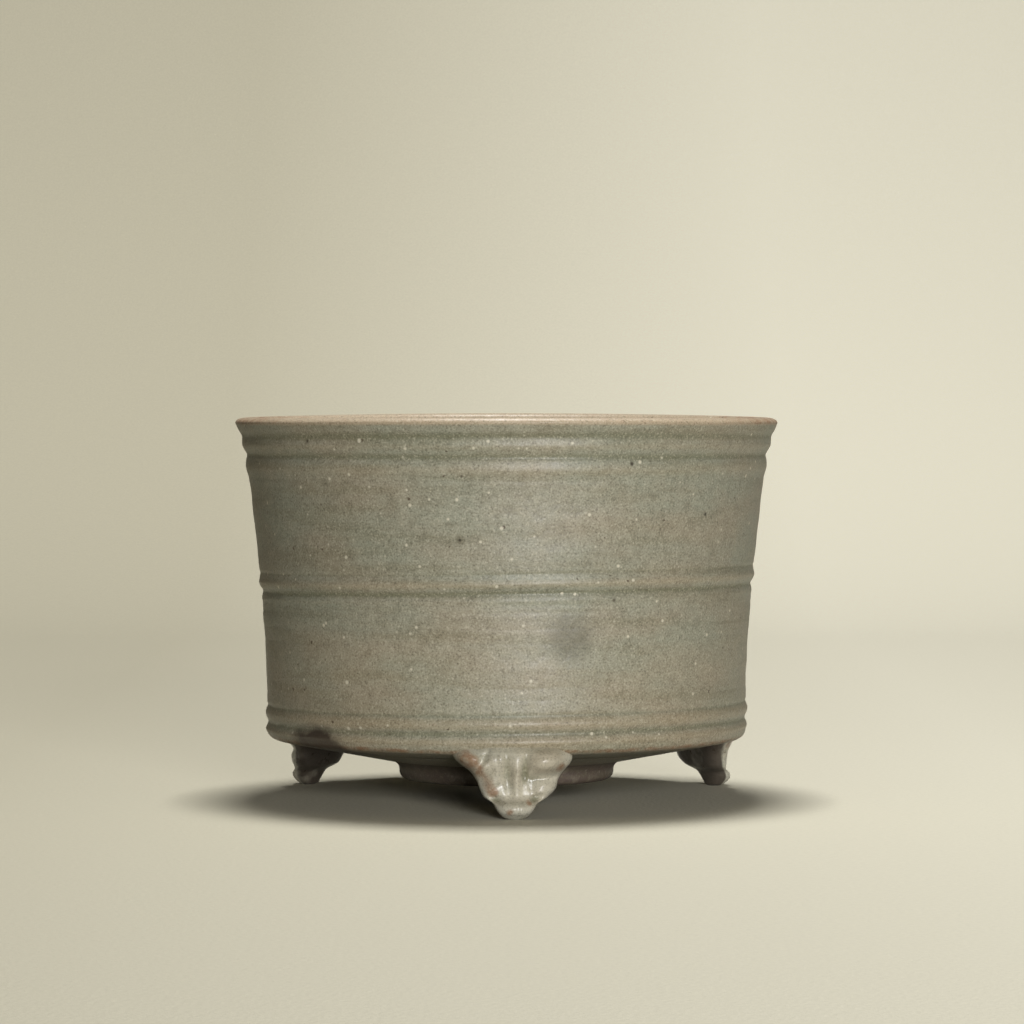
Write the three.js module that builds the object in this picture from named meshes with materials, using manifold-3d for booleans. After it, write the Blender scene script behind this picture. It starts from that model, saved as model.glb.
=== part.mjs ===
// A tripod incense burner of glazed stoneware: a thrown pot with three string bands, standing on
// three moulded cloud feet, with a turned foot ring under its base that hangs clear of the ground.
// Millimetres, +Z up. The origin is on the ground under the middle of the pot, and the front
// foot points towards -Y.

import * as THREE from 'three';
import { mergeVertices } from 'three/addons/utils/BufferGeometryUtils.js';
import Module from 'manifold-3d';

const wasm = await Module();
wasm.setup();

// The layer of slip that lutes one clay piece to the next.
const slipGap = 0.3;

// Wall
const rimHeight = 94.6;       // top of the lip above the ground
const rimRadius = 67.6;       // outside, at the widest of the lip
const wallThickness = 4.8;
const lipRise = 1.3;          // how far the rounded lip rises above its widest line
const neckDrop = 9.5;         // from the top of the lip down to where it starts to flare
const neckRadius = 65.0;
const lowerRadius = 59.8;     // outside of the upright lower wall
const leanHeight = 26.0;      // where the wall starts to lean outwards
const leanPower = 1.6;        // 1 would lean evenly, more bends the lean upwards
const flarePower = 1.5;

// String bands: each is a ridge between two grooves.
const upperBandDrop = 6.9;    // from the top of the lip down to the upper ridge
const lowerBandRise = 8.0;    // from the rim of the underside up to the lower ridge
const bandSpacing = 2.3;      // from a ridge to its grooves
const ridgeHeight = 0.55;
const grooveDepth = 0.4;

// Underside
const legHeight = 14.4;       // rim of the underside above the ground
const edgeRadius = 2.2;       // rounding between the wall and the underside
const undersideSlope = THREE.MathUtils.degToRad(11);

// Base, dropped into the wall from above like a saucer
const baseThickness = 7.0;
const flangeThickness = 3.2;
const ledgeWidth = 8.0;       // ledge inside the wall that carries the flange
const floorFlatRadius = 34.0;

// Foot ring
const ringRadius = 26.8;
const ringWidth = 5.8;
const ringHeight = 4.4;
const ringFlare = 4.2;        // how far its top spreads under the base
const ringRounding = 2.0;

// Cloud feet. Each section has its height above the ground, its width across the foot, how far
// its face stands out from the lower wall (inwards below zero) and its depth towards the axis.
// The upper sections hang from the pot, and the crown reaches up into it until it is cut off.
const footAzimuths = { front: 2.3, right: 118, left: -122 };
const pad = { height: 0, width: 5.2, proud: 2.0, depth: 3.6 };
const toe = { height: 2.2, width: 9.6, proud: 3.2, depth: 6.0 };
const ankle = { height: 4.0, width: 11.4, proud: 1.0, depth: 5.4 };
const calf = { height: 6.6, width: 17.4, proud: 1.0, depth: 6.6 };
const waist = { height: legHeight - 5.0, width: 19.6, proud: 1.1, depth: 7.4 };
const shoulder = { height: legHeight - 1.2, width: 27.6, proud: 1.6, depth: 9.0 };
const crown = { height: legHeight + 2.8, width: 24.0, proud: -0.6, depth: 8.0 };
const footSections = [pad, toe, ankle, calf, waist, shoulder, crown];
const faceFlatness = 0.75;    // power on a section's sine and cosine: 1 is an ellipse, less is squarer

// Raised forms on the face of a foot. Side is -1 for the left edge, 0 for the middle and 1 for
// the right edge of the section that each sits on; tilt is in degrees.
const lobeProud = 1.0;
const lobeDepth = 2.4;
const lobes = [
  { on: shoulder, side: -1, width: 9.4, height: 5.0, tilt: -38 },
  { on: shoulder, side: 1, width: 10.4, height: 6.4, tilt: 8 },
  { on: waist, side: 0, width: 3.6, height: 11.0, tilt: 0 },
  { on: calf, side: 1, width: 6.0, height: 4.4, tilt: 30 },
];

// Fineness of the facets
const turnSegments = 60;
const wallStep = 5.8;         // between the points of the plain wall
const bandStep = bandSpacing / 2;
const lipSteps = 8;
const roundingSteps = 5;
const footSides = 24;
const footRings = 16;
const lobeSides = 12;

const neckHeight = rimHeight - neckDrop;
const lipHeight = rimHeight - lipRise;
const edgeHeight = legHeight + edgeRadius * Math.cos(undersideSlope);

// Outside radius of the wall at a height, without its bands.
function plainRadius(height) {
  const lean = (neckRadius - lowerRadius) / (neckHeight - leanHeight) ** leanPower;
  if (height <= neckHeight) {
    return lowerRadius + lean * Math.max(height - leanHeight, 0) ** leanPower;
  }
  const slope = lean * leanPower * (neckHeight - leanHeight) ** (leanPower - 1);
  const flare = rimRadius - neckRadius - slope * (lipHeight - neckHeight);
  const share = (height - neckHeight) / (lipHeight - neckHeight);
  return neckRadius + slope * (height - neckHeight) + flare * share ** flarePower;
}

const upperBandHeight = rimHeight - upperBandDrop;
const lowerBandHeight = legHeight + lowerBandRise;
const bandHeights = [lowerBandHeight, (lowerBandHeight + upperBandHeight) / 2, upperBandHeight];
const bandReach = 2 * bandSpacing;

// A rounded bump of height 1 in the middle, which ends one band spacing to each side.
function bump(distance) {
  return Math.cos(Math.PI / 2 * Math.min(Math.abs(distance) / bandSpacing, 1)) ** 2;
}

function bandRelief(height) {
  return bandHeights.reduce((sum, middle) => {
    const grooves = bump(height - middle - bandSpacing) + bump(height - middle + bandSpacing);
    return sum + ridgeHeight * bump(height - middle) - grooveDepth * grooves;
  }, 0);
}

// The rounded edge under the wall and the cone of the underside, both grown outwards by a gap.
function edgeArc(gap) {
  const reach = edgeRadius + gap;
  return new THREE.EllipseCurve(
    lowerRadius - edgeRadius, edgeHeight, reach, reach, undersideSlope - Math.PI / 2, 0,
  ).getPoints(roundingSteps);
}

function undersideHeight(radius, gap = 0) {
  const rim = edgeArc(gap)[0];
  return rim.y - (rim.x - radius) * Math.tan(undersideSlope);
}

function evenSteps(start, end, step) {
  const count = Math.ceil(Math.abs(end - start) / step);
  return Array.from({ length: count + 1 }, (_, i) => THREE.MathUtils.lerp(start, end, i / count));
}

// A solid turned round the Z axis from an outline of radius and height.
function turned(outline) {
  const points = THREE.ShapeUtils.isClockWise(outline) ? outline.toReversed() : outline;
  const closes = points[0].x > 0 || points.at(-1).x > 0;
  return new THREE.LatheGeometry(closes ? [...points, points[0]] : points, turnSegments)
    .rotateX(Math.PI / 2);
}

const ledgeRadius = lowerRadius - wallThickness - ledgeWidth;
const flangeRadius = lowerRadius - wallThickness - slipGap;
const flangeHeight = undersideHeight(flangeRadius) + baseThickness - flangeThickness;

function thrownWall() {
  const banded = bandHeights.flatMap((middle) =>
    evenSteps(middle - bandReach, middle + bandReach, bandStep));
  const plain = evenSteps(edgeHeight, lipHeight, wallStep)
    .filter((height) => bandHeights.every((middle) => Math.abs(height - middle) > bandReach + bandStep));
  const heights = [...banded, ...plain, lipHeight]
    .filter((height) => height > edgeHeight && height <= lipHeight)
    .sort((a, b) => a - b);
  const outside = heights.map((height) =>
    new THREE.Vector2(plainRadius(height) + bandRelief(height), height));
  const lip = new THREE.EllipseCurve(
    rimRadius - wallThickness / 2, lipHeight, wallThickness / 2, lipRise, 0, Math.PI);
  const ledgeHeight = flangeHeight - slipGap;
  const inside = evenSteps(lipHeight, ledgeHeight, 1.5 * wallStep)
    .map((height) => new THREE.Vector2(plainRadius(height) - wallThickness, height));
  const ledge = [ledgeHeight, undersideHeight(ledgeRadius)]
    .map((height) => new THREE.Vector2(ledgeRadius, height));
  return turned([...edgeArc(0), ...outside, ...lip.getPoints(lipSteps).slice(1, -1), ...inside, ...ledge]);
}

const landRadius = ringRadius + ringFlare;
const landHeight = undersideHeight(landRadius);

function baseDisc() {
  const spigotRadius = ledgeRadius - slipGap;
  const top = (radius) => undersideHeight(radius) + baseThickness;
  return turned([
    new THREE.Vector2(0, landHeight),
    new THREE.Vector2(landRadius, landHeight),
    new THREE.Vector2(spigotRadius, undersideHeight(spigotRadius)),
    new THREE.Vector2(spigotRadius, flangeHeight),
    new THREE.Vector2(flangeRadius, flangeHeight),
    new THREE.Vector2(flangeRadius, top(flangeRadius)),
    new THREE.Vector2(floorFlatRadius, top(floorFlatRadius)),
    new THREE.Vector2(0, top(floorFlatRadius)),
  ]);
}

function footRing() {
  const top = landHeight - slipGap;
  const bottom = top - ringHeight;
  const insideRadius = ringRadius - ringWidth;
  const corner = new THREE.EllipseCurve(
    ringRadius - ringRounding, bottom + ringRounding, ringRounding, ringRounding, -Math.PI / 2, 0);
  const flare = new THREE.QuadraticBezierCurve(
    new THREE.Vector2(ringRadius, bottom + ringRounding),
    new THREE.Vector2(ringRadius + ringFlare / 5, top - ringFlare / 5),
    new THREE.Vector2(landRadius, top));
  return turned([
    new THREE.Vector2(insideRadius, top),
    new THREE.Vector2(insideRadius, bottom + ringRounding / 2),
    new THREE.Vector2(insideRadius + ringRounding / 2, bottom),
    ...corner.getPoints(roundingSteps),
    ...flare.getPoints(roundingSteps).slice(1),
  ]);
}

// A closed geometry becomes a solid that can be joined and cut, and a solid a geometry again.
function toSolid(geometry) {
  const shape = geometry.clone();
  shape.deleteAttribute('normal');
  shape.deleteAttribute('uv');
  const merged = mergeVertices(shape);
  const corners = merged.index.array;
  const triVerts = [];
  for (let i = 0; i < corners.length; i += 3) {
    const [a, b, c] = corners.slice(i, i + 3);
    if (a !== b && b !== c && c !== a) triVerts.push(a, b, c);
  }
  return new wasm.Manifold(new wasm.Mesh({
    numProp: 3,
    vertProperties: new Float32Array(merged.attributes.position.array),
    triVerts: new Uint32Array(triVerts),
  }));
}

function toGeometry(solid) {
  const { vertProperties, triVerts } = solid.getMesh();
  const geometry = new THREE.BufferGeometry();
  geometry.setAttribute('position', new THREE.BufferAttribute(vertProperties, 3));
  geometry.setIndex(new THREE.BufferAttribute(triVerts, 1));
  geometry.computeVertexNormals();
  return geometry;
}

// The foot's body: a cylinder whose rings follow smooth curves through the sections. Its face
// looks towards -Y, and a ring is flatter across its face than an ellipse.
function footBody() {
  const centres = new THREE.CatmullRomCurve3(footSections.map(({ height, proud, depth }) =>
    new THREE.Vector3(0, depth / 2 - lowerRadius - proud, height)));
  const halves = new THREE.CatmullRomCurve3(footSections.map(({ width, depth }) =>
    new THREE.Vector3(width / 2, depth / 2, 0)));
  const body = new THREE.CylinderGeometry(1, 1, 1, footSides, footRings);
  const { position } = body.attributes;
  const vertex = new THREE.Vector3();
  for (let i = 0; i < position.count; i += 1) {
    vertex.fromBufferAttribute(position, i);
    const centre = centres.getPoint(vertex.y + 0.5);
    const half = halves.getPoint(vertex.y + 0.5);
    const across = Math.sign(vertex.x) * Math.abs(vertex.x) ** faceFlatness;
    const along = -Math.sign(vertex.z) * Math.abs(vertex.z) ** faceFlatness;
    position.setXYZ(i, half.x * across, centre.y + half.y * along, centre.z);
  }
  return body;
}

function lobe({ on, side, width, height, tilt }) {
  return new THREE.SphereGeometry(1, lobeSides, lobeSides / 2)
    .rotateX(Math.PI / 2)
    .scale(width / 2, lobeDepth, height / 2)
    .rotateY(THREE.MathUtils.degToRad(-tilt))
    .translate(side * (on.width - width) / 2, lobeDepth - lowerRadius - on.proud - lobeProud, on.height);
}

// The space that the pot takes, one slip gap larger, with its top above the feet.
function potSpace() {
  const rim = edgeArc(slipGap);
  const top = crown.height + edgeRadius;
  return turned([
    new THREE.Vector2(0, undersideHeight(0, slipGap)),
    ...rim,
    new THREE.Vector2(rim.at(-1).x, top),
    new THREE.Vector2(0, top),
  ]);
}

function cloudFoot() {
  const lobed = lobes.reduce((solid, form) => solid.add(toSolid(lobe(form))), toSolid(footBody()));
  return toGeometry(lobed.subtract(toSolid(potSpace())));
}

function addPiece(parent, name, geometry, material) {
  const mesh = new THREE.Mesh(geometry, material);
  mesh.name = name;
  parent.add(mesh);
}

const glaze = new THREE.MeshStandardMaterial({ color: 0x9a947e, roughness: 0.42, metalness: 0 });
const footGlaze = new THREE.MeshStandardMaterial({ color: 0xaaa28a, roughness: 0.4, metalness: 0 });
const bareClay = new THREE.MeshStandardMaterial({ color: 0x8a6248, roughness: 0.8, metalness: 0 });

const group = new THREE.Group();
addPiece(group, 'thrown_wall', thrownWall(), glaze);
addPiece(group, 'base_disc', baseDisc(), glaze);
addPiece(group, 'foot_ring', footRing(), bareClay);
for (const [place, azimuth] of Object.entries(footAzimuths)) {
  const seat = new THREE.Group();
  seat.rotation.z = THREE.MathUtils.degToRad(azimuth);
  addPiece(seat, `cloud_foot_${place}`, cloudFoot(), footGlaze);
  group.add(seat);
}

export default group;
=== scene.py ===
# %% [markdown]
# A tripod incense burner: a thrown stoneware pot under a celadon ash glaze, on three moulded cloud
# feet. The frame holds each piece at its real size, and this file gives each piece its skin. The
# skins could be sculpted over the frame by eye, but here every shape is worked out from named
# sizes, so each one can be read and changed. The pot's lengths are in millimetres, as a potter
# would measure them, until a mesh or a node needs metres. The room's lengths are in metres.
# %% Frame
from math import atan, cos, pi, radians, sin

import bpy
import numpy as np
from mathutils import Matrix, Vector


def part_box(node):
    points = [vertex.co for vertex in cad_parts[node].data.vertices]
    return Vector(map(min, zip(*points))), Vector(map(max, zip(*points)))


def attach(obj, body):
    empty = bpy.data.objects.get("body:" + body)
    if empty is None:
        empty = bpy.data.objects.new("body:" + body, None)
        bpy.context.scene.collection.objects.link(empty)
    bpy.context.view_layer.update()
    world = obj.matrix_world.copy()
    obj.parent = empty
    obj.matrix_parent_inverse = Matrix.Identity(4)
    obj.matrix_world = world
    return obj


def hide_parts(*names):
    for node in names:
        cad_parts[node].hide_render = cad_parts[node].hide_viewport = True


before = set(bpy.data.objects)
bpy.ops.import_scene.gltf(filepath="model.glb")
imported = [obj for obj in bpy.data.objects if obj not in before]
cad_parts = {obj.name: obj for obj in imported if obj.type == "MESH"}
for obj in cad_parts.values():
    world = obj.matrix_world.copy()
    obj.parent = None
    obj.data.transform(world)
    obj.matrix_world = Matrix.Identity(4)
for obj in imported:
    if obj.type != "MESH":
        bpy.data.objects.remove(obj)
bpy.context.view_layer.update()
MM = 0.001
scene = bpy.context.scene
wall_low, wall_high = (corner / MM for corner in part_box("thrown_wall"))
ring_low, ring_high = (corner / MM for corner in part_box("foot_ring"))
print("wall from", wall_low, "to", wall_high)
print("ring from", ring_low, "to", ring_high)

# %% [markdown]
# Every piece here is closed: a turned piece is a profile carried round the axis, and a foot is a
# stack of outlines. Both are a grid of points, rows up the piece and columns round it, so one
# function can skin them all. It could be done with Spin and Bridge tools, but a grid keeps each
# shape as a formula, and lets marks such as where glaze pools ride along on the same points.
# %% Skin


def skin(name, points, material, nodes, marks, looped=False):
    """A closed skin over a grid of points. Each row closes on itself. The rows close as well if
    they loop, and otherwise each end row is capped by a fan round its middle."""
    rows, columns = points.shape[:2]
    corners = np.arange(rows * columns).reshape(rows, columns)
    places = points.reshape(-1, 3)
    faces = []
    if looped:
        corners = np.vstack([corners, corners[:1]])
    else:
        first, last = corners[0], corners[-1]
        faces += np.stack([np.full(columns, len(places)), np.roll(first, -1), first], -1).tolist()
        faces += np.stack([np.full(columns, len(places) + 1), last, np.roll(last, -1)], -1).tolist()
        places = np.vstack([places, points[0].mean(0), points[-1].mean(0)])
    low, high = corners[:-1], corners[1:]
    quads = np.stack([low, np.roll(low, -1, 1), np.roll(high, -1, 1), high], -1)
    faces += quads.reshape(-1, 4).tolist()
    mesh = bpy.data.meshes.new(name)
    mesh.from_pydata((places * MM).tolist(), [], faces)
    mesh.shade_smooth()
    for mark, amounts in marks.items():
        layer = mesh.attributes.new(mark, "FLOAT", "POINT")
        amounts = np.append(amounts.ravel(), np.zeros(len(places) - amounts.size))
        layer.data.foreach_set("value", amounts.astype(np.float32))
    mesh.materials.append(material)
    piece = bpy.data.objects.new(name, mesh)
    scene.collection.objects.link(piece)
    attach(piece, "root")
    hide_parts(*nodes)
    print(name, len(places), "points")


# %% [markdown]
# The wall was thrown on a wheel. Its outside stands upright low down, leans out with height and
# flares into the lip. A lathe profile of straight points would do, but the lean and the flare are
# each one power curve, which is how a potter's rib bends clay, so two powers give the whole line.
# %% Wall sizes
WALL_THICKNESS = 4.8
RIM_HEIGHT, RIM_RADIUS = wall_high.z, wall_high.x
# The lip's round top rises this far over the end of the wall's outside.
LIP_RISE = 1.3
LIP_HEIGHT = RIM_HEIGHT - LIP_RISE
# The flare starts at the neck, this far below the rim and this far inside it.
NECK_DROP, NECK_INSET = 9.5, 2.6
NECK_HEIGHT, NECK_RADIUS = RIM_HEIGHT - NECK_DROP, RIM_RADIUS - NECK_INSET
# The upright lower wall stands this far inside the rim, up to where the lean starts.
LOWER_INSET = 7.8
LOWER_RADIUS = RIM_RADIUS - LOWER_INSET
LEAN_HEIGHT = 26.0
LEAN_POWER, FLARE_POWER = 1.6, 1.5


def plain_radius(height):
    """Outside radius: the lower radius plus a power of the height above the lean, and over the
    neck the same slope carried on plus a power of the share of the neck."""
    height = np.asarray(height, float)
    lean = (NECK_RADIUS - LOWER_RADIUS) / (NECK_HEIGHT - LEAN_HEIGHT) ** LEAN_POWER
    leaned = np.maximum(np.minimum(height, NECK_HEIGHT) - LEAN_HEIGHT, 0)
    slope = lean * LEAN_POWER * (NECK_HEIGHT - LEAN_HEIGHT) ** (LEAN_POWER - 1)
    flare = RIM_RADIUS - NECK_RADIUS - slope * (LIP_HEIGHT - NECK_HEIGHT)
    over = np.maximum(height - NECK_HEIGHT, 0)
    return (LOWER_RADIUS + lean * leaned ** LEAN_POWER + slope * over
            + flare * (over / (LIP_HEIGHT - NECK_HEIGHT)) ** FLARE_POWER)


print("radius low, at the neck and at the lip", plain_radius([0, NECK_HEIGHT, LIP_HEIGHT]))

# %% [markdown]
# Each string band is a ridge that the potter raised with a notched rib, with a groove on each
# side, and finer wheel lines lie between the bands. They could be bump in the material, but
# the ridges show on the outline, so they are in the mesh: each line is a bell curve of height.
# The middle band sinks to the left and behind by about a millimetre and a half.
# %% Bands
# Each line: its height, how far it stands out (in below zero) and half its breadth.
UPPER_LINES = [(90.2, -0.34, 1.0), (87.75, 0.26, 0.9), (85.4, -0.35, 0.85), (82.4, 0.28, 1.5),
               (79.9, -0.07, 0.6)]
MIDDLE_LINES = [(57.8, -0.16, 0.45), (55.4, 0.44, 1.1), (53.2, -0.36, 0.75), (51.4, 0.12, 0.6),
                (48.6, -0.04, 0.5), (44.8, -0.05, 0.5), (41.3, -0.04, 0.5)]
LOWER_LINES = [(30.7, -0.04, 0.5), (27.9, -0.04, 0.5), (24.2, -0.20, 0.5), (22.3, 0.42, 1.1),
               (20.0, -0.34, 0.8), (18.0, 0.32, 0.8)]
# How far a group of lines rises towards the right (+X), and how far it sinks on the way from the
# front to a side. At the back it has sunk twice that.
UPPER_TILT, MIDDLE_TILT, LOWER_TILT = (0.0, 0.0), (0.98, 0.74), (0.55, 0.5)


def band_relief(height, azimuth):
    """Sum of bell curves, each standing out by its rise where the height meets the line, which
    is tilted by a sine of the azimuth and sunk by one less its cosine."""
    relief = np.zeros(np.broadcast(height, azimuth).shape)
    for lines, (rise_right, sink_back) in (
            (UPPER_LINES, UPPER_TILT), (MIDDLE_LINES, MIDDLE_TILT), (LOWER_LINES, LOWER_TILT)):
        shift = rise_right * np.sin(azimuth) - sink_back * (1 - np.cos(azimuth))
        for middle, rise, breadth in lines:
            relief += rise * np.exp(-((height - middle - shift) / breadth) ** 2)
    return relief


print("middle band stands out at the front by", band_relief(np.array([55.4]), np.array([0.0])))

# %% [markdown]
# No wall thrown by hand is quite round or quite straight: it keeps the slow swell of the fingers.
# A Displace modifier with a noise texture could give that, but the wall is already a formula of
# height and azimuth, so a few waves are added to it. Each runs round the pot a whole number of
# times, so it closes on itself without a seam. A second helper fades such things in and out.
# %% Waviness
THROWING = np.random.default_rng(7)


def unevenness(height, azimuth, depth=0.10, waves=14):
    """Hand-thrown waviness: cosines of whole turns of azimuth times cosines of height."""
    total = np.zeros(np.broadcast(height, azimuth).shape)
    for turns in THROWING.integers(0, 5, waves):
        length = THROWING.uniform(7, 28)
        phases = THROWING.uniform(0, 2 * pi, 2)
        total += np.cos(turns * azimuth + phases[0]) * np.cos(2 * pi * height / length + phases[1])
    return depth * total / waves ** 0.5


def smooth_step(low, high, value):
    """0 below low, 1 above high, and an even S between them: 3 t squared less 2 t cubed."""
    share = np.clip((value - low) / (high - low), 0, 1)
    return share * share * (3 - 2 * share)


print("a quarter of the way up an S is", smooth_step(0.0, 1.0, 0.25))

# %% [markdown]
# A material is a tree of nodes, each fed by others. Trees can be drawn by hand in the Shader
# Editor, but written down they can be read, and two small functions keep them short: one adds a
# node with its settings and links, and one turns a colour as a paint program names it into the
# linear light that Blender reckons in.
# %% Nodes and colours


def add(tree, kind, links=None, **settings):
    """Adds a node, sets it, and links or fills its inputs."""
    node = tree.nodes.new(kind)
    for setting, value in settings.items():
        setattr(node, setting, value)
    for socket, value in (links or {}).items():
        if isinstance(value, bpy.types.NodeSocket):
            tree.links.new(value, node.inputs[socket])
        else:
            node.inputs[socket].default_value = value
    return node


def linear(hex_colour):
    """sRGB hex to linear RGBA: below 0.04045 a straight line, above it a power of 2.4."""
    levels = np.array([int(hex_colour[i:i + 2], 16) / 255 for i in (0, 2, 4)])
    return (*np.where(levels > 0.04045, ((levels + 0.055) / 1.055) ** 2.4, levels / 12.92), 1.0)


ASH_GREEN, WARM_ASH = "9d9d8a", "a59983"
print("ash green in linear light", linear(ASH_GREEN))

# %% [markdown]
# The glaze is a wood-ash celadon, fired on a grey stoneware body. It is cloudy and streaked, and
# its iron shows as specks. It could be painted on an image, but patterns in Object coordinates
# need no unwrapping, and each keeps a real size: clouds of 26 mm, wheel streaks 2.4 mm high,
# grain of 0.45 mm (coarser than real grain, so that it shows), and specks 5.5 mm apart. Marks on
# the mesh say where the glaze pooled, thinned, rusted or burnt, and where the backs of the feet
# are painted dark as shade.
# %% Glaze patterns
CLOUD_SIZE, PATCH_SIZE = 26.0, 26.0 / 3
STREAK_LENGTH = 34.0
MOTTLE_SIZE, GRAIN_SIZE = 2.6, 0.45
SPECK_SPACING, GRIT_SPACING = 5.5, 4.5
CRACKLE_SIZE = 4.5
# The wheel draws clouds out sideways a little and streaks a lot: both are squeezed in height.
CLOUD_SQUEEZE, STREAK_SQUEEZE = 2.4, 14
# How far the grain frays the edge of a speck, and how far patches thin specks out.
FRAYING, THINNING_OUT = 0.12, 0.16
MESH_MARKS = ("pool", "thin", "lip", "rust", "burn_and_painted_shade")


def glaze_patterns(tree, place):
    """Every pattern and mark by its name. Noise is from 0 to 1, a speck's value is the distance
    from its middle plus a little noise, and the rust mark and the dark brown mark, partly painted
    shade, are multiplied by noise."""
    flat = add(tree, "ShaderNodeMapping",
               {"Vector": place, "Scale": (1, 1, CLOUD_SQUEEZE)}).outputs[0]
    thrown = add(tree, "ShaderNodeMapping",
                 {"Vector": place, "Scale": (1, 1, STREAK_SQUEEZE)}).outputs[0]
    patterns = {}
    for title, vector, size, detail in (
            ("clouds", flat, CLOUD_SIZE, 4), ("streaks", thrown, STREAK_LENGTH, 4),
            ("mottle", place, MOTTLE_SIZE, 4), ("grain", place, GRAIN_SIZE, 2),
            ("patches", place, PATCH_SIZE, 3)):
        noise = add(tree, "ShaderNodeTexNoise",
                    {"Vector": vector, "Scale": 1 / (size * MM), "Detail": detail})
        patterns[title] = noise.outputs["Fac"]
    for title, spacing in (("specks", SPECK_SPACING), ("grit", GRIT_SPACING)):
        cells = add(tree, "ShaderNodeTexVoronoi", {"Vector": place, "Scale": 1 / (spacing * MM)})
        ragged = add(tree, "ShaderNodeMath", {
            0: patterns["grain"], 1: FRAYING, 2: cells.outputs["Distance"]},
            operation="MULTIPLY_ADD")
        fading = add(tree, "ShaderNodeMath", {
            0: patterns["patches"], 1: THINNING_OUT, 2: ragged.outputs[0]},
            operation="MULTIPLY_ADD")
        patterns[title] = fading.outputs[0]
    cracks = add(tree, "ShaderNodeTexVoronoi", {"Vector": place, "Scale": 1 / (CRACKLE_SIZE * MM)},
                 feature="DISTANCE_TO_EDGE")
    patterns["cracks"] = cracks.outputs["Distance"]
    for mark in MESH_MARKS:
        patterns[mark] = add(tree, "ShaderNodeAttribute", attribute_name=mark).outputs["Fac"]
    for mark, breaking in (("rust", "mottle"), ("burn_and_painted_shade", "patches")):
        broken = add(tree, "ShaderNodeMath", {0: patterns[mark], 1: patterns[breaking]},
                     operation="MULTIPLY")
        patterns[mark] = broken.outputs[0]
    return patterns


print("streaks are", round(STREAK_LENGTH / STREAK_SQUEEZE, 1), "mm high")

# %% [markdown]
# Where the glaze pooled in grooves it is thick and green, and on ridges it broke thin, so the tan
# clay shows through. Iron in the clay burnt to rust at the lip and the bottom edge. One colour
# ramp could not hold all that, so each of these is a layer laid over the last through its own
# mask, from the broad clouds to the single specks, as a painter works from wash to detail.
# %% Glaze colours
# A spot keeps its full strength out to this share of its reach.
SPOT_CORE = 0.3


def glaze_colour(tree, place, patterns, ash, warm, grit, spots):
    """Layers over the ash colour. Each mask rises from 0 where its pattern is at start to its
    strength where it is at full, and a spot's mask falls with the distance from its middle."""
    layers = [
        ("clouds", 0.38, 0.64, 0.75, warm),
        ("streaks", 0.48, 0.66, 0.36, "7d775c"),
        ("mottle", 0.50, 0.75, 0.26, "c0b9a2"),
        ("mottle", 0.50, 0.28, 0.34, "6f6955"),
        ("pool", 0.10, 1.00, 0.75, "67684c"),
        ("thin", 0.15, 1.00, 0.42, "b5a283"),
        ("lip", 0.10, 0.90, 0.90, "bfab8f"),
        ("rust", 0.24, 0.52, 0.72, "8e6342"),
        ("grain", 0.46, 0.22, 0.75 * grit, "4f4836"),
        ("grain", 0.54, 0.78, 0.64 * grit, "d6cfb6"),
        ("cracks", 0.030, 0.00, 0.16, "7f765c"),
        ("specks", 0.215, 0.170, 0.80 * grit, "4a3826"),
        ("grit", 0.245, 0.190, 0.85 * grit, "e2dac2"),
        # The dark brown layer is burnt clay on the wall and ring, and painted shade on the backs of
        # the feet.
        ("burn_and_painted_shade", 0.18, 0.42, 0.90, "372b23"),
    ]
    colour = linear(ash)
    for title, start, full, strength, shade in layers:
        mask = add(tree, "ShaderNodeMapRange", {
            "Value": patterns[title], "From Min": start, "From Max": full, "To Max": strength})
        mixed = add(tree, "ShaderNodeMix", {0: mask.outputs[0], 6: colour, 7: linear(shade)},
                    data_type="RGBA")
        colour = mixed.outputs[2]
    for azimuth, height, reach, strength, shade in spots:
        turn, radius = radians(azimuth), plain_radius(height)
        middle = Vector((radius * sin(turn), -radius * cos(turn), height)) * MM
        away = add(tree, "ShaderNodeVectorMath", {0: place, 1: middle}, operation="DISTANCE")
        mask = add(tree, "ShaderNodeMapRange", {
            "Value": away.outputs["Value"], "From Min": reach * MM,
            "From Max": reach * MM * SPOT_CORE, "To Max": strength}, interpolation_type="SMOOTHSTEP")
        mixed = add(tree, "ShaderNodeMix", {0: mask.outputs[0], 6: colour, 7: linear(shade)},
                    data_type="RGBA")
        colour = mixed.outputs[2]
    return colour


print("a spot keeps its full strength for", SPOT_CORE, "of its reach")

# %% [markdown]
# Fired glaze is glass, so it has the IOR of glass, about 1.52. Ash glaze is half matt, because
# fine crystals grow in it as it cools, so its roughness is high for glass and changes with the
# mottle. The mottle and the grain also lift the surface a little. That could be mesh, but grain
# this fine would need millions of faces, so it is bump.
# %% Glaze
GLAZE_IOR = 1.52
ROUGHNESS_SPREAD = 0.14
MOTTLE_DEPTH, MOTTLE_STRENGTH = 0.35, 0.5
GRAIN_DEPTH, GRAIN_STRENGTH = 0.10, 0.35


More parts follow.
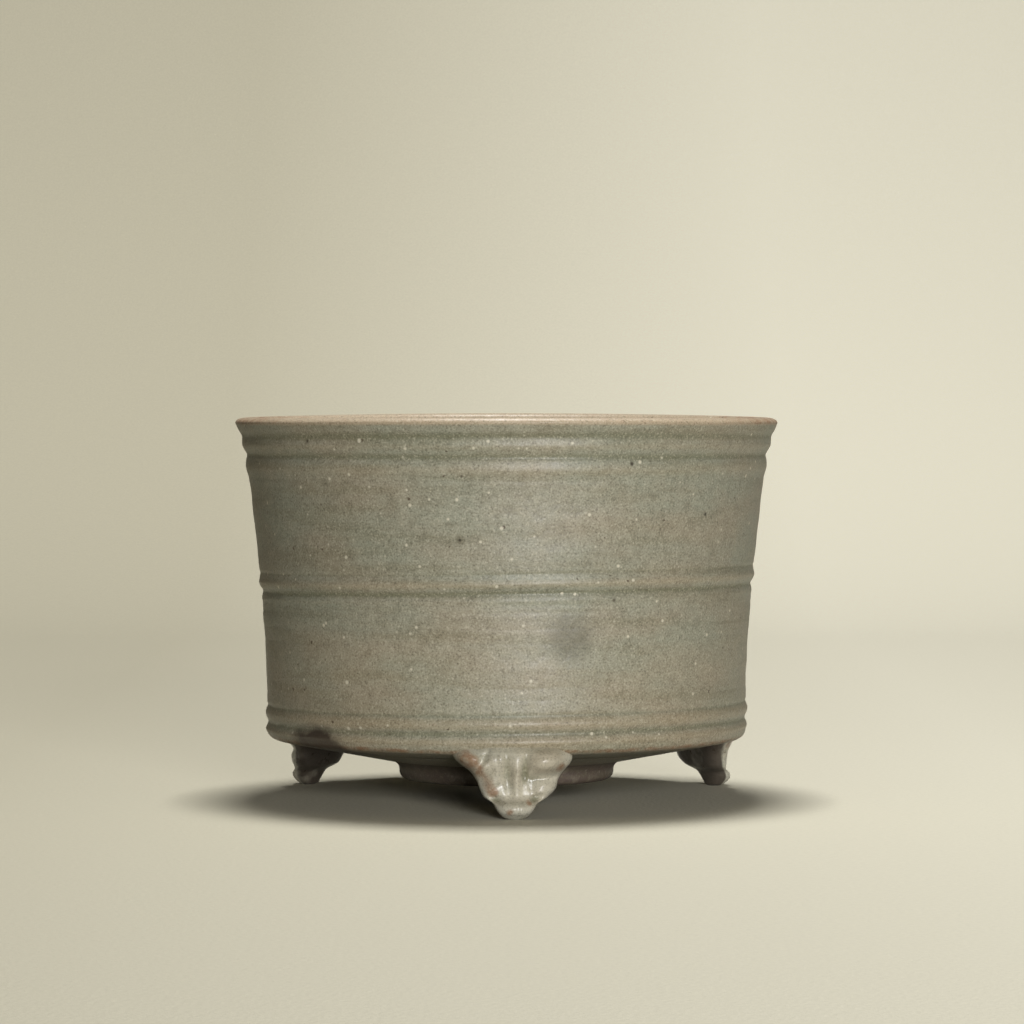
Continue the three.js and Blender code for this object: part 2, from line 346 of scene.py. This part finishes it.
def glaze(name, ash, warm, smooth, grit=1.0, spots=()):
    """Celadon glaze. Ash and warm are its two main colours, smooth is its lowest roughness, and
    grit is how strongly grain and specks show."""
    material = bpy.data.materials.new(name)
    material.use_nodes = True
    tree = material.node_tree
    place = add(tree, "ShaderNodeTexCoord").outputs["Object"]
    patterns = glaze_patterns(tree, place)
    colour = glaze_colour(tree, place, patterns, ash, warm, grit, spots)
    sheen = add(tree, "ShaderNodeMapRange", {
        "Value": patterns["mottle"], "From Min": 0.3, "From Max": 0.7,
        "To Min": smooth, "To Max": smooth + ROUGHNESS_SPREAD})
    soft = add(tree, "ShaderNodeBump", {
        "Height": patterns["mottle"], "Strength": MOTTLE_STRENGTH, "Distance": MOTTLE_DEPTH * MM})
    fine = add(tree, "ShaderNodeBump", {
        "Height": patterns["grain"], "Normal": soft.outputs[0], "Strength": GRAIN_STRENGTH,
        "Distance": GRAIN_DEPTH * MM})
    shader = tree.nodes["Principled BSDF"]
    shader.inputs["IOR"].default_value = GLAZE_IOR
    tree.links.new(colour, shader.inputs["Base Color"])
    tree.links.new(sheen.outputs[0], shader.inputs["Roughness"])
    tree.links.new(fine.outputs[0], shader.inputs["Normal"])
    print(name, len(tree.nodes), "nodes")
    return material


# %% [markdown]
# The photographed side has a few marks of its own: a dark pinhole with a halo, a few small iron
# spots, and a smoky patch below the middle. Noise would never put them there, so each is placed
# by its azimuth and height, on the glaze of the wall. This celadon is satin: green-grey
# and cloudy, with broad soft glints.
# %% Wall glaze
# Each spot: azimuth in degrees, height, reach, strength and colour.
SPOTS = [(-10, 65.9, 1.6, 0.5, "5d553f"), (-10, 65.9, 0.5, 0.9, "2b2418"),
         (27.2, 83.8, 0.7, 0.9, "33291c"), (49, 71.5, 0.7, 0.9, "33291c"),
         (-9.3, 81.0, 0.6, 0.8, "3b3022"), (24.7, 51.5, 0.6, 0.8, "3b3022"),
         (-46, 89.1, 0.6, 0.8, "3b3022"), (14.4, 42.4, 8.0, 0.50, "5c5a49")]
celadon = glaze("celadon_ash_glaze", ASH_GREEN, WARM_ASH, smooth=0.40, spots=SPOTS)

# %% [markdown]
# The wall's section is one closed loop: under the pot, round the bottom edge, up the outside,
# over the lip, down the inside and back along the ledge for the base. Rows are closest on the
# outside, where the string bands need three or four to a millimetre. A modifier could give a
# plain sheet its thickness, but a lip and a ledge of their own need the whole loop.
# %% Wall section
COLUMNS = 288
LEG_HEIGHT = 14.9
EDGE_RADIUS = 2.2
UNDERSIDE_SLOPE = radians(11)
# The ledge that carries the base: how far it reaches inwards, and how thick it is.
LEDGE_WIDTH, LEDGE_THICKNESS = 8.0, 4
LEDGE_RADIUS = LOWER_RADIUS - WALL_THICKNESS - LEDGE_WIDTH
# The second row under the pot lies this far outside the first.
UNDER_STEP = 4
EDGE_HEIGHT = LEG_HEIGHT + EDGE_RADIUS * cos(UNDERSIDE_SLOPE)
RIM_POINT = LOWER_RADIUS - EDGE_RADIUS + EDGE_RADIUS * sin(UNDERSIDE_SLOPE)
azimuth = np.linspace(0, 2 * pi, COLUMNS, endpoint=False)[None, :]
around = np.stack([np.sin(azimuth), -np.cos(azimuth)])


def underside(radius):
    """Height of the cone under the pot: it falls from the bottom edge by the slope's tangent."""
    return LEG_HEIGHT - (RIM_POINT - radius) * np.tan(UNDERSIDE_SLOPE)


def turned(radius, height):
    """Points (radius sin azimuth, -radius cos azimuth, height) for each row and column."""
    radius = np.broadcast_to(radius, (len(radius), COLUMNS))
    height = np.broadcast_to(height, radius.shape)
    return np.stack([radius * around[0], radius * around[1], height], -1)


edge = np.linspace(UNDERSIDE_SLOPE - pi / 2, 0, 10)
outside = np.linspace(EDGE_HEIGHT, LIP_HEIGHT, 268)[1:]
over_lip = np.linspace(0, pi, 18)[1:]
inside = np.linspace(LIP_HEIGHT, underside(LEDGE_RADIUS) + LEDGE_THICKNESS, 46)[1:]
under = np.array([LEDGE_RADIUS, LEDGE_RADIUS + UNDER_STEP])
radius = np.concatenate([
    under, LOWER_RADIUS - EDGE_RADIUS + EDGE_RADIUS * np.cos(edge), plain_radius(outside),
    RIM_RADIUS - WALL_THICKNESS / 2 * (1 - np.cos(over_lip)),
    plain_radius(inside) - WALL_THICKNESS, [LEDGE_RADIUS]])[:, None]
height = np.concatenate([
    underside(under), EDGE_HEIGHT + EDGE_RADIUS * np.sin(edge), outside,
    LIP_HEIGHT + LIP_RISE * np.sin(over_lip), inside, [inside[-1]]])[:, None]
outer_row = np.zeros(radius.shape)
outer_row[len(under):len(under) + len(edge) + len(outside)] = 1
print("rows to a millimetre outside", round(len(outside) / (LIP_HEIGHT - EDGE_HEIGHT), 1))

# %% [markdown]
# On that plain section come the bands and the waviness, which both fade out at the bottom edge,
# where the clay was trimmed. The lip is not level: drying and firing warped it by a millimetre,
# and it stands highest at the back. A lattice could bend it, but a sum of two cosines of the
# azimuth says how it is warped, and only the top of the wall follows it.
# %% Wall relief
# The heights between which the bands, the waviness and the lip's warp fade in.
BANDS_FROM, WAVES_FROM, WARP_FROM = (16.0, 17.5), (13, 20), (84, 93)
# The warp: a level part, a rise towards the back, and a rise at front and back over the sides.
WARP_LEVEL, WARP_BACK, WARP_SADDLE = 0.3, 0.4, 0.3
relief = band_relief(height, azimuth) * outer_row * smooth_step(*BANDS_FROM, height)
radius = radius + relief + unevenness(height, azimuth) * smooth_step(*WAVES_FROM, height)
rim_rise = WARP_LEVEL - WARP_BACK * np.cos(azimuth) + WARP_SADDLE * np.cos(2 * azimuth)
lifted = height + rim_rise * smooth_step(*WARP_FROM, height)
print("lip rises by", rim_rise.min(), "to", rim_rise.max())

# %% [markdown]
# Glaze runs off ridges and gathers in grooves, so its marks come from the relief itself. They
# could be painted as vertex colours, but worked out like this they follow every band. The lip is
# bare of green and the lower wall is thin. Rust comes at the lip, most at its two sides, and at
# the bottom edge. Low on the left, in front of the left foot, the wall is burnt brown.
# %% Wall
# A groove this deep is full of glaze, and a ridge this high is bare of it.
FULL_GROOVE, BARE_RIDGE = 0.42, 0.5
# The rusty line round the bottom edge: its height and half its breadth.
RUST_HEIGHT, RUST_BREADTH = 15.6, 0.9
# The burnt place low on the left: its azimuth and half its breadth in degrees.
BURNT_AZIMUTH, BURNT_BREADTH = 310, 14
lip = smooth_step(LIP_HEIGHT - 0.8, LIP_HEIGHT + 0.1, height) * np.ones_like(azimuth)
lip_sides = smooth_step(0.7, 1.0, np.abs(np.sin(azimuth)))
bottom = np.exp(-((height - RUST_HEIGHT) / RUST_BREADTH) ** 2) * np.ones_like(azimuth)
thin_low_down = 0.5 * (1 - smooth_step(34, 54, height)) * outer_row
rusty_ridges = 0.45 * np.clip(relief / 0.4, 0, 1) * (1 - smooth_step(25, 30, height))
burnt_place = np.exp(-((np.degrees(azimuth) - BURNT_AZIMUTH) / BURNT_BREADTH) ** 2)
wall_marks = {
    "pool": np.clip(-relief / FULL_GROOVE, 0, 1),
    "thin": np.clip(relief / BARE_RIDGE + thin_low_down, 0, 1),
    "lip": lip,
    "rust": np.clip(lip * (0.45 + 0.4 * lip_sides) + 0.85 * bottom + rusty_ridges, 0, 1),
    "burn_and_painted_shade": np.clip(burnt_place * (1 - smooth_step(16, 25, height)), 0, 1),
}
skin("pot_wall", turned(radius, lifted), celadon, ["thrown_wall"], wall_marks, looped=True)

# %% [markdown]
# The base is a shallow dish luted inside the wall, its floor flat in the middle and rising to
# the wall. It is glazed as the wall is. Its outline runs from the middle of the underside
# outwards and back along the floor, and its edge goes a little into the wall, as slip fills it.
# A disc with a bevel could stand in, but it would have neither the fillet nor the wheel marks.
# %% Base
LAND_RADIUS = ring_high.x
FLOOR_THICKNESS = 6.5
FLAT_RADIUS = 34.0
# Slip fills the joint, so the dish laps into the wall by this much below and above.
LAP_BELOW, LAP_ABOVE = 0.3, 0.6
# The floor sweeps up to the wall in a fillet of this height, which dies out over this distance.
FILLET_HEIGHT, FILLET_REACH = 1.6, 2.2
# Rings left on the floor by the wheel: depth and spacing, and the heights between which they fade
# in, so that the underside, which stays lower, has none.
WHEEL_DEPTH, WHEEL_SPACING, FLOOR_FROM = 0.16, 5.5, (14, 16)
# The outline starts and ends at this radius, and a small cap closes each pole.
POLE_RADIUS = 1.0
dish_under = np.linspace(POLE_RADIUS, LEDGE_RADIUS + LAP_BELOW, 40)
dish_floor = np.linspace(LOWER_RADIUS - WALL_THICKNESS + LAP_ABOVE, POLE_RADIUS, 60)
under_height = underside(np.maximum(dish_under, LAND_RADIUS))
floor_height = underside(np.maximum(dish_floor, FLAT_RADIUS)) + FLOOR_THICKNESS
floor_height = floor_height + FILLET_HEIGHT * np.exp(-(dish_floor[0] - dish_floor) / FILLET_REACH)
dish_radius = np.concatenate([dish_under, dish_floor])[:, None]
dish_height = np.concatenate([under_height, floor_height])[:, None]
wheel_mark = (WHEEL_DEPTH * np.cos(dish_radius * 2 * pi / WHEEL_SPACING)
              * smooth_step(*FLOOR_FROM, dish_height))
base_marks = {"pool": np.clip(wheel_mark / -WHEEL_DEPTH, 0, 1) * 0.5 * np.ones_like(azimuth)}
skin("pot_base", turned(dish_radius, dish_height + wheel_mark), celadon, ["base_disc"],
     base_marks)

# %% [markdown]
# The ring under the base was turned when the clay was leather hard, and its foot was wiped clean
# of glaze, so it fired to a brown stoneware: dull, with faint grain and a weak, broad shine. The
# glaze's own patterns serve for it, in browns and with little grit. A torus would be too round:
# the real section is a square foot with worn corners that spreads where it joins the base.
# %% Foot ring
RING_WIDTH, RING_FLARE = 5.8, 4.2
OUTER_CORNER, INNER_CORNER = 2.0, 1
# The inside spreads by this much in its last stretch of this height, and the top goes this far
# into the base.
INNER_FLARE, INNER_STRETCH, TOP_LAP = 1.2, 1.4, 0.3
# The lowest part is burnt darkest, and the burn dies out at this height over the foot.
BURN_STRENGTH, BURN_HEIGHT = 0.55, 2.5
ring_outer = LAND_RADIUS - RING_FLARE
ring_inner = ring_outer - RING_WIDTH
ring_bottom, ring_top = ring_low.z, underside(LAND_RADIUS) + TOP_LAP
turn = np.linspace(-pi / 2, 0, 12)
share = np.linspace(0, 1, 16)[1:]
flat = np.linspace(ring_inner + INNER_CORNER, ring_outer - OUTER_CORNER, 6)[:-1]
ring_radius = np.concatenate([
    [ring_inner - INNER_FLARE, ring_inner, ring_inner], flat,
    ring_outer - OUTER_CORNER + OUTER_CORNER * np.cos(turn),
    ring_outer + RING_FLARE * share ** 3])[:, None]
ring_height = np.concatenate([
    [ring_top, ring_top - INNER_STRETCH, ring_bottom + INNER_CORNER],
    np.full(len(flat), ring_bottom),
    ring_bottom + OUTER_CORNER + OUTER_CORNER * np.sin(turn),
    ring_bottom + OUTER_CORNER + (ring_top - ring_bottom - OUTER_CORNER) * share])[:, None]
clay = glaze("wiped_ring_clay", "675d54", "604f47", smooth=0.45, grit=0.25)
ring_burn = BURN_STRENGTH * (1 - smooth_step(ring_bottom, ring_bottom + BURN_HEIGHT, ring_height))
skin("turned_ring", turned(ring_radius, ring_height), clay, ["foot_ring"],
     {"burn_and_painted_shade": ring_burn * np.ones_like(azimuth)}, looped=True)

# %% [markdown]
# The feet were pressed in a mould as cloud scrolls: a curl on the left shoulder, a round boss on
# the right, a ribbed middle and a knob of a toe. They could be sculpted by hand, but written as a
# table of swellings and creases on a stack of outlines, every form keeps its size and can be
# moved. The same mould made all three, so one table serves them all.
# %% Foot forms
FOOT_AZIMUTHS = {"front": 2.3, "right": 118.0, "left": -122.0}
# Each outline: height, reach to the left, reach to the right, how far its face stands out from
# the lower wall, and its depth towards the axis.
FOOT_OUTLINES = np.array([
    (0.0, 1.9, 1.5, 1.9, 2.8), (0.35, 2.9, 2.3, 2.5, 3.8), (1.1, 3.8, 3.1, 3.1, 4.7),
    (2.5, 4.9, 4.3, 3.7, 5.8), (3.8, 5.6, 5.2, 3.2, 6.1), (5.1, 7.6, 7.5, 1.5, 6.2),
    (6.7, 8.5, 9.3, 1.0, 6.6), (9.2, 9.5, 10.1, 1.0, 7.4), (11.2, 11.0, 11.4, 1.2, 8.0),
    (12.8, 13.2, 12.9, 1.4, 8.6), (14.5, 14.7, 13.5, 1.5, 9.0), (15.8, 14.2, 12.8, 1.1, 8.8),
    (17.2, 12.2, 11.4, -0.2, 8.0), (18.8, 10.0, 9.6, -1.8, 6.0)])
# Each form: place across and up, half its width and height, its turn in degrees, and how far it
# stands out (in below zero). They begin with the curl, the ribs and the boss, and go on to the
# crease under it, the lower lobes and the toe.
FOOT_FORMS = [
    (-11.4, 14.4, 3.4, 2.1, -38, 1.8), (-8.8, 10.6, 1.6, 3.4, -24, 0.7),
    (-8.0, 13.8, 0.8, 2.6, -34, -0.9), (-5.8, 12.0, 2.4, 4.4, 4, 0.7),
    (-3.5, 14.2, 0.7, 2.2, 0, 0.4), (-2.2, 10.9, 1.0, 5.4, 4, -0.6),
    (0.1, 9.8, 1.1, 4.8, 0, 0.9), (2.1, 12.0, 0.9, 3.8, -8, -1.0),
    (7.4, 13.4, 4.0, 3.0, 6, 2.7), (-3.0, 6.4, 1.6, 1.6, 0, 0.3),
    (7.0, 10.2, 4.2, 1.4, 8, -0.8), (7.0, 7.2, 3.0, 2.0, 34, 0.9),
    (-6.4, 7.2, 2.0, 2.8, -24, 0.6), (-4.8, 4.7, 1.6, 0.8, -20, -0.8),
    (4.6, 5.0, 1.6, 0.8, 24, -0.9), (0.3, 2.6, 0.5, 1.6, 0, -0.2),
    (3.4, 8.2, 1.0, 2.8, 20, -0.3), (-0.4, 2.2, 3.6, 2.2, 0, 0.7)]
# Rust burnt through the glaze on the foot: place across and up, and reach.
FOOT_RUST = [(-12.0, 14.4, 2.8), (-9.6, 11.8, 2.2), (-6.8, 8.8, 2.0), (-5.4, 6.4, 1.6),
             (3.0, 4.2, 1.1), (10.5, 12.2, 1.6), (-1.6, 1.8, 1.2)]
print("a foot has", len(FOOT_OUTLINES), "outlines and", len(FOOT_FORMS), "forms")

# %% [markdown]
# Two helpers turn those tables into a surface. One draws a smooth line through the outlines'
# values at every height between them, as a spline curve would, but it can be asked for a whole
# array of heights at once. The other adds up the swellings and creases.
# %% Foot relief


def through(known, values, wanted):
    """A smooth line through known points: a cubic between each two, with the mean slopes."""
    slopes = np.gradient(values, known)
    left = np.clip(np.searchsorted(known, wanted, side="right") - 1, 0, len(known) - 2)
    span = known[left + 1] - known[left]
    share = (wanted - known[left]) / span
    rise = values[left + 1] - values[left]
    ease = share * share * (3 - 2 * share)
    start = share * (1 - share) ** 2 * span * slopes[left]
    end = share ** 2 * (1 - share) * span * slopes[left + 1]
    return values[left] + rise * ease + start - end


def foot_relief(across, height):
    """Sum of swellings and creases: each is its rise times e to the minus cube of the distance
    from its middle, in half widths and half heights along its own turned axes."""
    relief = np.zeros(across.shape)
    for x, z, half_width, half_height, tilt, rise in FOOT_FORMS:
        turn = radians(tilt)
        along = (across - x) * cos(turn) + (height - z) * sin(turn)
        up = (height - z) * cos(turn) - (across - x) * sin(turn)
        relief += rise * np.exp(-(((along / half_width) ** 2 + (up / half_height) ** 2) ** 1.5))
    return relief


print("the boss stands out by", foot_relief(np.array([7.4]), np.array([13.4])))

# %% [markdown]
# Each foot is its outlines stacked from toe to shoulder, on the curve of the lower wall, and
# turned to its azimuth. Its back is plain, and the back and the sides that turn away are painted
# dark brown as shade, so the sides of the rear feet show dark. In front its celadon is paler and
# glossier than the wall's, the paleness partly its own and partly painted light where the key
# lamp falls full on the front foot, and it gives small bright glints on the round forms. Copies of
# one mesh could be turned into place, but a finished piece stays unturned at the origin, so the
# function works out each foot where it stands.
# %% Feet
FOOT_ROWS, FOOT_COLUMNS = 150, 220
# Rows crowd towards the toe by this power. Below 1, the next two square up an oval.
TOE_CROWDING, SIDE_SQUARING, FACE_SQUARING = 1.15, 0.85, 0.7
# Relief fades in from the toe's tip, and out where the shoulder goes into the wall.
TOE_FADE, SHOULDER_FADE = (0.2, 1.6), (16.4, 18.0)


def foot(place, degrees, material):
    """Outlines stacked from toe to shoulder. Across is the reach times a flattened sine, and the
    face follows the wall's curve, with the back a flattened cosine of the depth behind it."""
    height = np.linspace(0, 1, FOOT_ROWS) ** TOE_CROWDING * FOOT_OUTLINES[-1, 0]
    left, right, proud, depth = (
        through(FOOT_OUTLINES[:, 0], FOOT_OUTLINES[:, column], height)[:, None]
        for column in range(1, 5))
    turn = np.linspace(0, 2 * pi, FOOT_COLUMNS, endpoint=False)[None, :]
    sine = np.sign(np.sin(turn)) * np.abs(np.sin(turn)) ** SIDE_SQUARING
    cosine = np.sign(np.cos(turn)) * np.abs(np.cos(turn)) ** FACE_SQUARING
    height = np.broadcast_to(height[:, None], (FOOT_ROWS, FOOT_COLUMNS))
    across = np.where(sine < 0, left, right) * sine
    facing = smooth_step(-0.1, 0.6, cosine)
    relief = foot_relief(across, height) * facing * smooth_step(*TOE_FADE, height)
    relief = relief * (1 - smooth_step(*SHOULDER_FADE, height))
    reach = LOWER_RADIUS + proud + relief
    face = np.sqrt(reach ** 2 - across ** 2)
    out = face - depth * (1 - cosine) / 2
    angle = radians(degrees)
    points = np.stack([across * cos(angle) + out * sin(angle),
                       across * sin(angle) - out * cos(angle), height], -1)
    rust = sum(np.exp(-((across - x) ** 2 + (height - z) ** 2) / size ** 2)
               for x, z, size in FOOT_RUST)
    # The dark brown mark on a foot is painted shade: it darkens the back and the sides that turn
    # away.
    marks = {"pool": np.clip(-relief / 0.8, 0, 1) * 0.9, "thin": np.clip(relief / 2.0, 0, 0.7),
             "rust": np.clip(rust, 0, 0.95) * facing,
             "burn_and_painted_shade": 0.95 * smooth_step(0.5, 0.0, cosine) * np.ones_like(height)}
    skin("foot_" + place, points, material, ["cloud_foot_" + place], marks)


# Paler than the wall's glaze, partly in its own colour and partly as painted light where the key
# lamp falls full on the front foot.
pale_painted_lit_celadon = glaze("pale_painted_lit_celadon_on_feet", "cfcdbc", "c8bda5", smooth=0.26, grit=0.7)
for place, degrees in FOOT_AZIMUTHS.items():
    foot(place, degrees, pale_painted_lit_celadon)

# %% [markdown]
# The photograph's backdrop is seamless cream paper: a sheet that lies flat, then curves up
# behind. Two planes would show a corner, so it is one profile of a floor, a quarter circle and a
# wall, carried sideways. From here on lengths are in metres.
# %% Paper sweep
# The floor runs from the start, past a line in front of the pot, to where the paper bends up.
SWEEP_START, SWEEP_NEAR, SWEEP_BACK = -2.0, -0.5, 0.7
# The radius of the bend, the height of the top edge, and half the paper's width.
SWEEP_BEND, SWEEP_TOP, SWEEP_HALF = 0.8, 2.2, 2.5
bend = np.linspace(0, pi / 2, 40)
sweep_y = np.concatenate([[SWEEP_START, SWEEP_NEAR], SWEEP_BACK + SWEEP_BEND * np.sin(bend),
                          [SWEEP_BACK + SWEEP_BEND]])
sweep_z = np.concatenate([[0, 0], SWEEP_BEND * (1 - np.cos(bend)), [SWEEP_TOP]])
rows = len(sweep_y)
sheet = np.stack([np.tile([-SWEEP_HALF, SWEEP_HALF], rows), np.repeat(sweep_y, 2),
                  np.repeat(sweep_z, 2)], -1)
steps = np.arange(rows - 1) * 2
strips = np.stack([steps, steps + 1, steps + 3, steps + 2], -1)
sweep_mesh = bpy.data.meshes.new("paper_sweep")
sweep_mesh.from_pydata(sheet.tolist(), [], strips.tolist())
sweep_mesh.shade_smooth()
print("backdrop", rows, "rows")

# %% [markdown]
# Matt uncoated paper is rough, with a fine tooth, here 1.2 mm, which is coarser than the real
# one, so that it shows. The sheet is painted darker to the left, as painted shade where less
# light reaches it. It could be lit to look pale, but light thrown back from it would then fill
# the pot's dark left side. So it is pale only where the camera, a reflection or clear glass
# looks at it, and dull for the light that bounces. The lamps hardly reach its back, so that
# glows a little to the camera.
# %% Cream paper
# The left tone is painted shade: darker than the cream on the right, where less light reaches.
SHADED_TONE_LEFT, TONE_RIGHT, TONE_DULL = "c6c0a9", "e6e1cc", "5a5540"
# The painted shade fades out from left to right within this distance of the axis.
TONE_HALF = 0.14
TOOTH_SIZE, TOOTH_DEPTH, PAPER_ROUGHNESS = 0.0012, 0.0004, 0.9
# The glow, and how far behind the pot it starts and is full.
BACKDROP_GLOW, GLOW_FROM, GLOW_FULL = 0.38, 0.15, 1.1
paper = bpy.data.materials.new("cream_paper")
paper.use_nodes = True
tree = paper.node_tree
place = add(tree, "ShaderNodeTexCoord").outputs["Object"]
axes = add(tree, "ShaderNodeSeparateXYZ", {0: place})
rightness = add(tree, "ShaderNodeMapRange", {
    "Value": axes.outputs["X"], "From Min": -TONE_HALF, "From Max": TONE_HALF})
tone_with_painted_shade = add(tree, "ShaderNodeMix", {
    0: rightness.outputs[0], 6: linear(SHADED_TONE_LEFT), 7: linear(TONE_RIGHT)}, data_type="RGBA")
tooth = add(tree, "ShaderNodeTexNoise", {"Vector": place, "Scale": 1 / TOOTH_SIZE, "Detail": 3})
speckle = add(tree, "ShaderNodeMapRange", {
    "Value": tooth.outputs["Fac"], "To Min": 0.94, "To Max": 1.06})
toned = add(tree, "ShaderNodeVectorMath", {0: tone_with_painted_shade.outputs[2], 1: speckle.outputs[0]},
            operation="MULTIPLY")
bumps = add(tree, "ShaderNodeBump", {
    "Height": tooth.outputs["Fac"], "Strength": 0.4, "Distance": TOOTH_DEPTH})
ray = add(tree, "ShaderNodeLightPath")
mirrored = add(tree, "ShaderNodeMath", {
    0: ray.outputs["Is Camera Ray"], 1: ray.outputs["Is Glossy Ray"]}, operation="MAXIMUM")
looked_at = add(tree, "ShaderNodeMath", {
    0: mirrored.outputs[0], 1: ray.outputs["Is Transmission Ray"]}, operation="MAXIMUM")
shown = add(tree, "ShaderNodeMix", {
    0: looked_at.outputs[0], 6: linear(TONE_DULL), 7: toned.outputs[0]}, data_type="RGBA")
behind = add(tree, "ShaderNodeMapRange", {
    "Value": axes.outputs["Y"], "From Min": GLOW_FROM, "From Max": GLOW_FULL,
    "To Max": BACKDROP_GLOW}, interpolation_type="SMOOTHSTEP")
glow = add(tree, "ShaderNodeMath", {0: behind.outputs[0], 1: ray.outputs["Is Camera Ray"]},
           operation="MULTIPLY")
sheet_shader = tree.nodes["Principled BSDF"]
tree.links.new(toned.outputs[0], sheet_shader.inputs["Emission Color"])
tree.links.new(glow.outputs[0], sheet_shader.inputs["Emission Strength"])
tree.links.new(shown.outputs[2], sheet_shader.inputs["Base Color"])
tree.links.new(bumps.outputs[0], sheet_shader.inputs["Normal"])
sheet_shader.inputs["Roughness"].default_value = PAPER_ROUGHNESS
sweep_mesh.materials.append(paper)
sweep = bpy.data.objects.new("paper_sweep", sweep_mesh)
scene.collection.objects.link(sweep)
print(paper.name, len(tree.nodes), "nodes")

# %% [markdown]
# One large soft box stands in front, a little to the right, and a smaller one hangs overhead to
# glint on the lip and bands. A ring of lamps would flatten the wheel lines, and one lamp alone
# leaves the lip dull. The room itself is nearly dark, so the left side falls dark. Blender's
# Standard view shows each colour about as it is written.
# %% Light
ROOM_COLOUR, ROOM_STRENGTH = "fff6e6", 0.045
# Both lamps are aimed at the middle of the pot's height.
AIM_HEIGHT = 0.05


def soft_box(name, azimuth, elevation, distance, size, watts):
    """A square lamp at an azimuth right of the front and an elevation, aimed at the pot."""
    lamp = bpy.data.lights.new(name, "AREA")
    lamp.size = size
    lamp.energy = watts
    box = bpy.data.objects.new(name, lamp)
    azimuth, elevation = radians(azimuth), radians(elevation)
    aim = Vector((sin(azimuth) * cos(elevation), -cos(azimuth) * cos(elevation), sin(elevation)))
    box.location = Vector((0, 0, AIM_HEIGHT)) + aim * distance
    box.rotation_euler = aim.to_track_quat("Z", "Y").to_euler()
    box.visible_camera = False
    scene.collection.objects.link(box)
    print(name, watts, "watts")


soft_box("key_box", azimuth=13, elevation=7, distance=1.5, size=0.45, watts=16.2)
soft_box("top_box", azimuth=175, elevation=83, distance=1.2, size=0.28, watts=13.3)
world = bpy.data.worlds.new("dim_room")
scene.world = world
world.use_nodes = True
world.node_tree.nodes["Background"].inputs[0].default_value = linear(ROOM_COLOUR)
world.node_tree.nodes["Background"].inputs[1].default_value = ROOM_STRENGTH
scene.view_settings.view_transform = "Standard"

# %% [markdown]
# The camera stands a metre away with a long lens, a little above the lip and 1.4 mm to the
# right of the axis, looking slightly down. A wide lens close by could frame the pot as well, but
# the front foot would swell and the rear feet would shrink. The focal length follows from the
# pot's width in the picture: 4120 pixels on an image of 1024 by 1024. The horizon lies 104
# pixels above the middle.
# %% Camera
IMAGE_SIZE = 1024
FOCAL_PIXELS = 4120
HORIZON_ABOVE_MIDDLE = 104
CAMERA_PLACE = (0.0014, -1.030, 0.097)
camera_data = bpy.data.cameras.new("camera")
camera_data.sensor_width = 36.0
camera_data.lens = FOCAL_PIXELS / IMAGE_SIZE * camera_data.sensor_width
camera = bpy.data.objects.new("camera", camera_data)
camera.location = CAMERA_PLACE
camera.rotation_euler = (pi / 2 - atan(HORIZON_ABOVE_MIDDLE / FOCAL_PIXELS), 0, 0)
scene.collection.objects.link(camera)
scene.camera = camera
print("lens", camera_data.lens)
